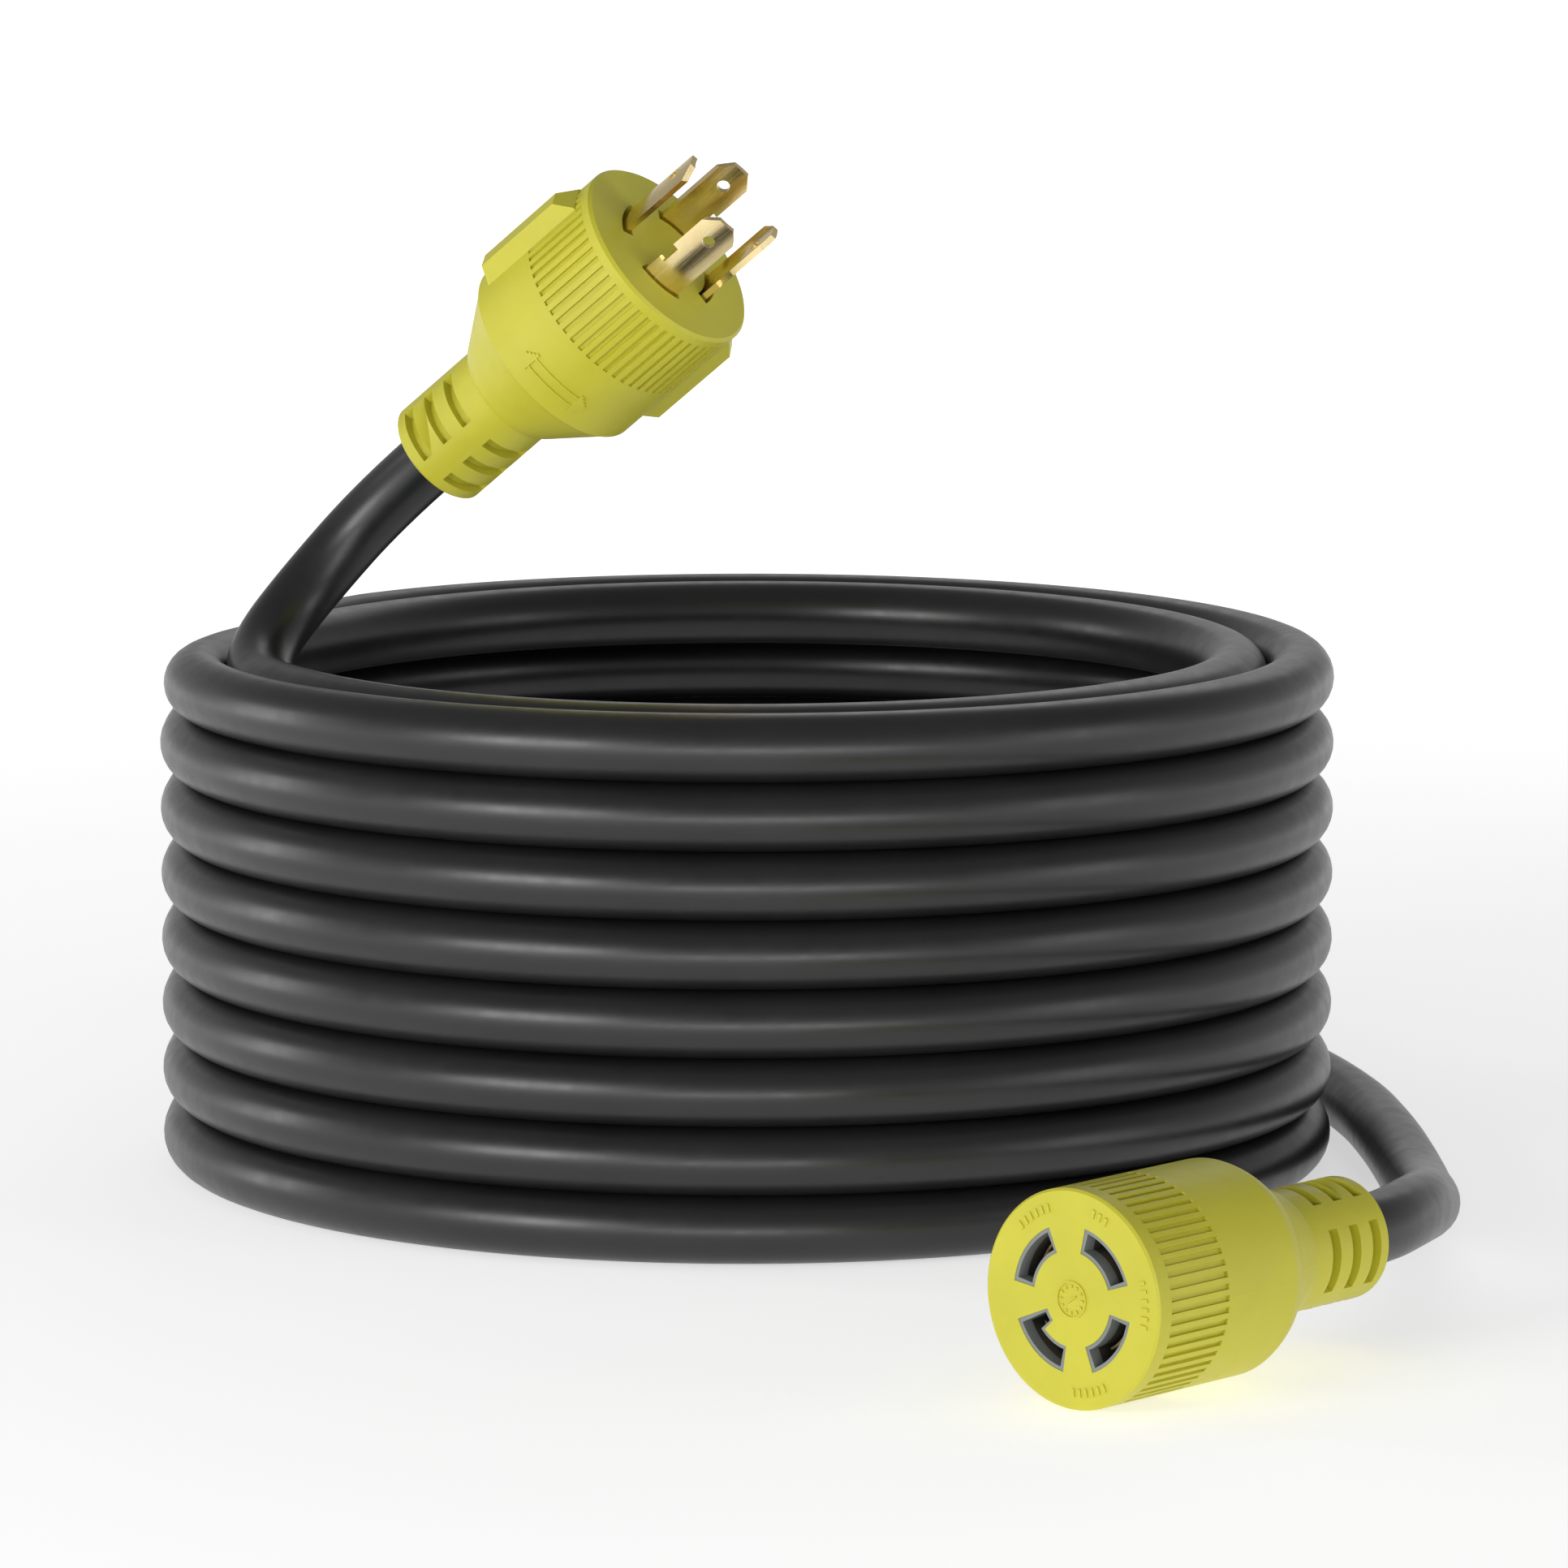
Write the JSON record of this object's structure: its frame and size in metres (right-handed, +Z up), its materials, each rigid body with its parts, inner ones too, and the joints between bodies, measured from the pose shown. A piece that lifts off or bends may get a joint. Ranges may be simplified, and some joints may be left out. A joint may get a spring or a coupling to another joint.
{
  "type": "shore power cord",
  "caption": "Coiled heavy round power cord with a moulded locking plug of curved blades at one end and a matching slotted connector at the other.",
  "frame": {"origin": "On the floor under the middle of the whole object's bounding box.", "axes": "+Z is up. -Y is the side where the connector lies in front of the coil, +Y the side where the spare loop of cable lies behind it. +X is the side where the connector's cable leaves the coil."},
  "size_m": [0.332, 0.6828, 0.2676],
  "materials": {
    "cable_black": "satin",
    "moulding_yellow": "satin",
    "carrier_dark": "matt",
    "rim_grey": "matt",
    "brass_blade": "satin",
    "brass_contact": "satin",
    "crimp_tin": "satin",
    "copper_strand": "satin",
    "mould_inner": "matt",
    "wire_black": "satin",
    "wire_red": "satin",
    "wire_white": "satin",
    "wire_green": "satin"
  },
  "bodies": {
    "root": {"cable_coil": "cable_black", "cable_connector_tail": "cable_black", "cable_plug_tail": "cable_black", "connector_body_shell": "moulding_yellow", "connector_cable_end": "cable_black", "connector_carrier_cap": "carrier_dark", "connector_carrier_core": "carrier_dark", "connector_carrier_ring": "carrier_dark", "connector_conductor_black": "wire_black", "connector_conductor_green": "wire_green", "connector_conductor_red": "wire_red", "connector_conductor_white": "wire_white", "connector_contact_w": "brass_contact", "connector_contact_x": "brass_contact", "connector_contact_y": "brass_contact", "connector_copper_strands": "copper_strand", "connector_crimp_barrels": "crimp_tin", "connector_grip_band": "moulding_yellow", "connector_ground_contact": "brass_contact", "connector_inner_mould": "mould_inner", "connector_slot_rims": "rim_grey", "connector_strain_relief": "moulding_yellow", "plug_blade_carrier": "carrier_dark", "plug_blade_w": "brass_blade", "plug_blade_x": "brass_blade", "plug_blade_y": "brass_blade", "plug_body_shell": "moulding_yellow", "plug_cable_end": "cable_black", "plug_conductor_black": "wire_black", "plug_conductor_green": "wire_green", "plug_conductor_red": "wire_red", "plug_conductor_white": "wire_white", "plug_copper_strands": "copper_strand", "plug_crimp_barrels": "crimp_tin", "plug_grip_band": "moulding_yellow", "plug_ground_blade": "brass_blade", "plug_inner_mould": "mould_inner", "plug_strain_relief": "moulding_yellow"}
  },
  "joints": []
}
